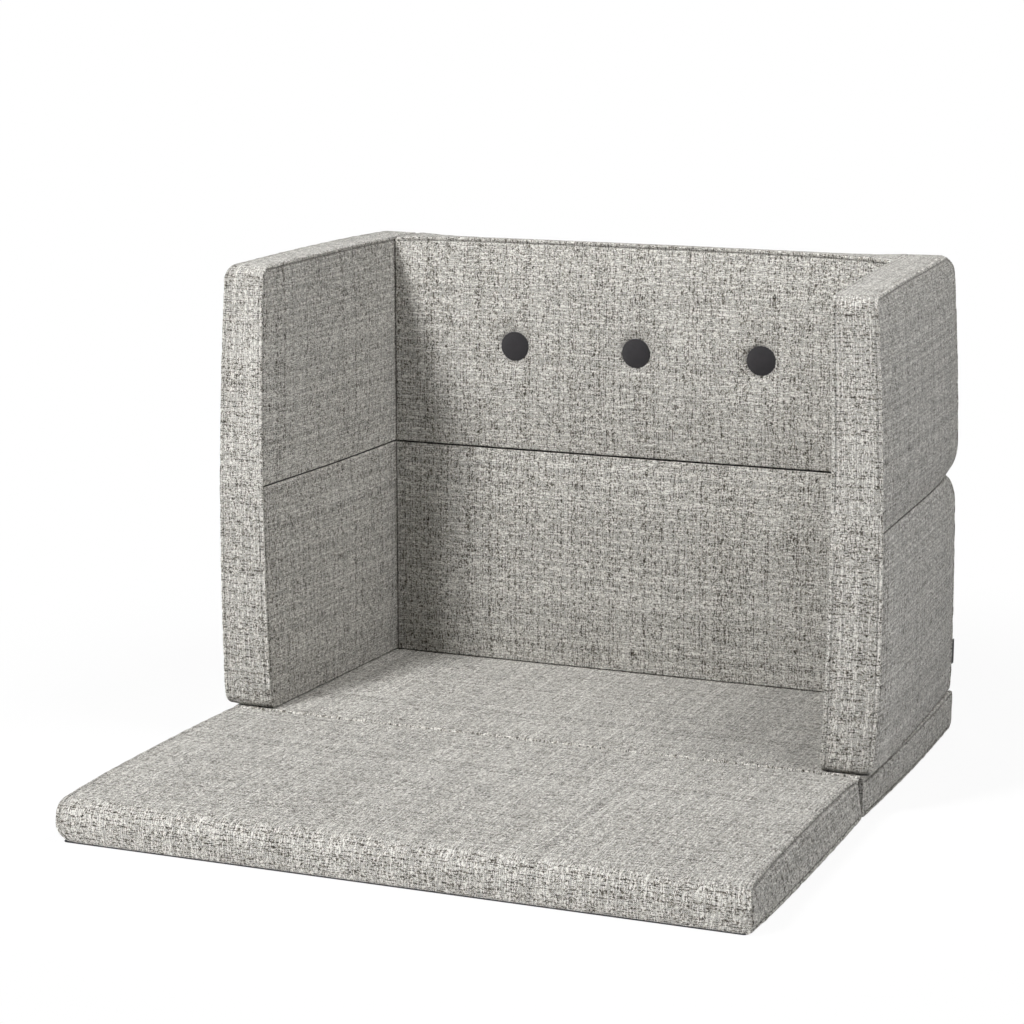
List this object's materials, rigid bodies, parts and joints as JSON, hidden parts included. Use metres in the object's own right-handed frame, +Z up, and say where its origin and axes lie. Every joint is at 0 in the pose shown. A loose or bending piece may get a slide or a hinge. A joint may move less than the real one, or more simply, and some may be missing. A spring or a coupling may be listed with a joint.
{
  "type": "folding foam sofa",
  "caption": "Child's folding sofa of covered foam blocks: two hinged floor mats and two tiers of U-shaped walls, tufted with dark buttons.",
  "frame": {"origin": "middle of the rear mat's underside, on the floor", "axes": "+Z up, +X to the right of somebody who faces the seat, +Y to the rear; the front mat lies towards -Y"},
  "size_m": [0.7614, 0.7878, 0.5505],
  "materials": {
    "upholstery": "heathered basket weave, light grey, matt",
    "foam": "open-cell foam, pale, matt",
    "hinge_cloth": "heathered basket weave, light grey, matt",
    "grip_cloth": "dark non-slip cloth",
    "button_cloth": "plain dark cloth, matt",
    "button_metal": "pressed, satin",
    "cord": "waxed twisted cord",
    "anchor_plastic": "moulded, matt",
    "tab_cloth": "woven black ribbon, blank"
  },
  "bodies": {
    "base": {"base_mat_cover": "upholstery", "base_mat_foam": "foam", "base_grip_cloth": "grip_cloth", "seat_hinge_tape": "hinge_cloth", "rear_hinge_tape": "hinge_cloth"},
    "front_mat": {"front_mat_cover": "upholstery", "front_mat_foam": "foam", "front_grip_cloth": "grip_cloth"},
    "lower_walls": {"lower_left_arm_cover": "upholstery", "lower_left_arm_foam": "foam", "lower_right_arm_cover": "upholstery", "lower_right_arm_foam": "foam", "lower_back_cover": "upholstery", "lower_back_foam": "foam", "left_front_hinge_tape": "hinge_cloth", "right_front_hinge_tape": "hinge_cloth", "side_tab": "tab_cloth"},
    "upper_walls": {"upper_left_arm_cover": "upholstery", "upper_left_arm_foam": "foam", "upper_right_arm_cover": "upholstery", "upper_right_arm_foam": "foam", "upper_back_cover": "upholstery", "upper_back_foam": "foam", "back_buttons": "button_cloth", "button_plates": "button_metal", "button_cords": "cord", "anchor_discs": "anchor_plastic"}
  },
  "joints": [
    {"name": "wall_tilt", "type": "hinge", "parent": "base", "child": "lower_walls", "pos_m": [0, 0.1924, 0.04515], "axis": [-1, 0, 0], "range_deg": [0, 94], "deforming": ["rear_hinge_tape"]},
    {"name": "front_mat_fold", "type": "hinge", "parent": "base", "child": "front_mat", "pos_m": [0, -0.192, 0.0468], "axis": [-1, 0, 0], "range_deg": [0, 180], "deforming": ["seat_hinge_tape"]},
    {"name": "upper_wall_flip", "type": "hinge", "parent": "lower_walls", "child": "upper_walls", "pos_m": [0, -0.1924, 0.30515], "axis": [1, 0, 0], "range_deg": [0, 180], "deforming": ["left_front_hinge_tape", "right_front_hinge_tape"]}
  ],
  "couplings": [
    {"joint": "front_mat_fold", "follows": "wall_tilt", "ratio": 1.9148}
  ]
}
